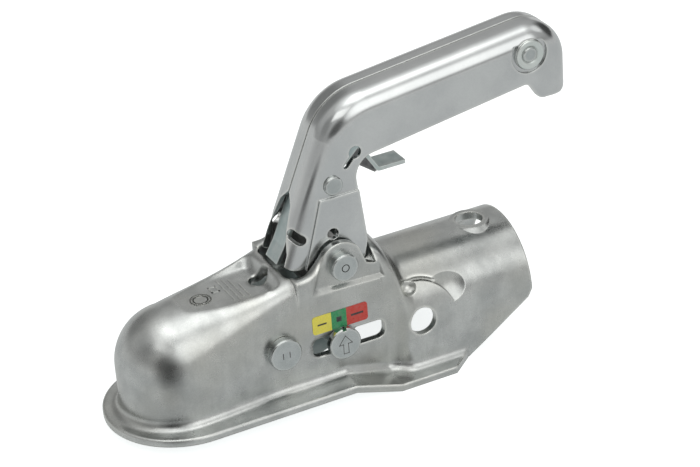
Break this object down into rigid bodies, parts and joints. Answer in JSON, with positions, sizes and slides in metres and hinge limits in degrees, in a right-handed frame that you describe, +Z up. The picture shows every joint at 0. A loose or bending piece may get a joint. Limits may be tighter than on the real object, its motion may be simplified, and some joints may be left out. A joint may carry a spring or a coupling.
{
  "type": "trailer coupling head",
  "caption": "Ball coupling head for a round drawbar: pressed housing with ball dome, lift handle with catch, sprung jaw and wear indicator.",
  "frame": {"origin": "centre of the 50 mm ball, which is the centre of the dome", "axes": "+X to the drawbar along the coupling, +Z up through the dome, the side with the scale at -Y"},
  "size_m": [0.273, 0.09, 0.1712],
  "materials": {
    "housing_zinc": "satin zinc plating, slightly blotchy",
    "handle_zinc": "bright zinc plating",
    "pin_zinc": "turned steel, zinc plated",
    "plate_zinc": "cut sheet steel, zinc plated",
    "forged_steel": "forged steel, zinc plated and dull",
    "spring_steel": "dark spring steel",
    "sticker": "printed film in three colour fields"
  },
  "bodies": {
    "housing": {"housing": "housing_zinc", "jaw_pin": "pin_zinc", "handle_pivot_pin": "pin_zinc", "pivot_washer_left": "plate_zinc", "pivot_washer_right": "plate_zinc", "wear_scale": "sticker", "spring_bracket": "plate_zinc", "guide_rod": "pin_zinc"},
    "jaw": {"jaw": "forged_steel", "link_pin": "pin_zinc"},
    "slide": {"slide_yoke": "plate_zinc", "indicator_pin": "pin_zinc", "indicator_retainer": "pin_zinc", "spring_seat": "plate_zinc", "main_spring": "spring_steel"},
    "links": {"link_left": "plate_zinc", "link_right": "plate_zinc"},
    "handle": {"handle_shell_left": "handle_zinc", "handle_shell_right": "handle_zinc", "cam_block": "forged_steel", "grip_rivet": "pin_zinc", "grip_washer_left": "pin_zinc", "grip_washer_right": "pin_zinc", "grip_spacer": "plate_zinc", "catch_rivet": "pin_zinc", "catch_spring": "spring_steel"},
    "catch": {"catch_lever": "plate_zinc"}
  },
  "joints": [
    {"name": "handle_lift", "type": "hinge", "parent": "housing", "child": "handle", "pos_m": [0.0892, 0, 0.0387], "axis": [0, -1, 0], "range_deg": [0, 40]},
    {"name": "slide_travel", "type": "slide", "parent": "housing", "child": "slide", "axis": [1, 0, 0], "range_m": [0, 0.00776], "stiffness_N_per_m": 1500, "deforming": ["main_spring"]},
    {"name": "link_swing", "type": "hinge", "parent": "slide", "child": "links", "pos_m": [0.0848, 0, -0.0042], "axis": [0, 1, 0], "range_deg": [0, 0.8]},
    {"name": "jaw_swing", "type": "hinge", "parent": "housing", "child": "jaw", "pos_m": [0.0508, 0, 0.0004], "axis": [0, -1, 0], "range_deg": [0, 24.2]},
    {"name": "catch_press", "type": "hinge", "parent": "handle", "child": "catch", "pos_m": [0.0908, 0, 0.0815], "axis": [0, -1, 0], "range_deg": [0, 12], "stiffness_Nm_per_rad": 0.05}
  ],
  "couplings": [
    {"joint": "slide_travel", "follows": "handle_lift", "m_per_rad": 0.011097},
    {"joint": "link_swing", "follows": "handle_lift", "ratio": 0.01875},
    {"joint": "jaw_swing", "follows": "handle_lift", "ratio": 0.6}
  ]
}
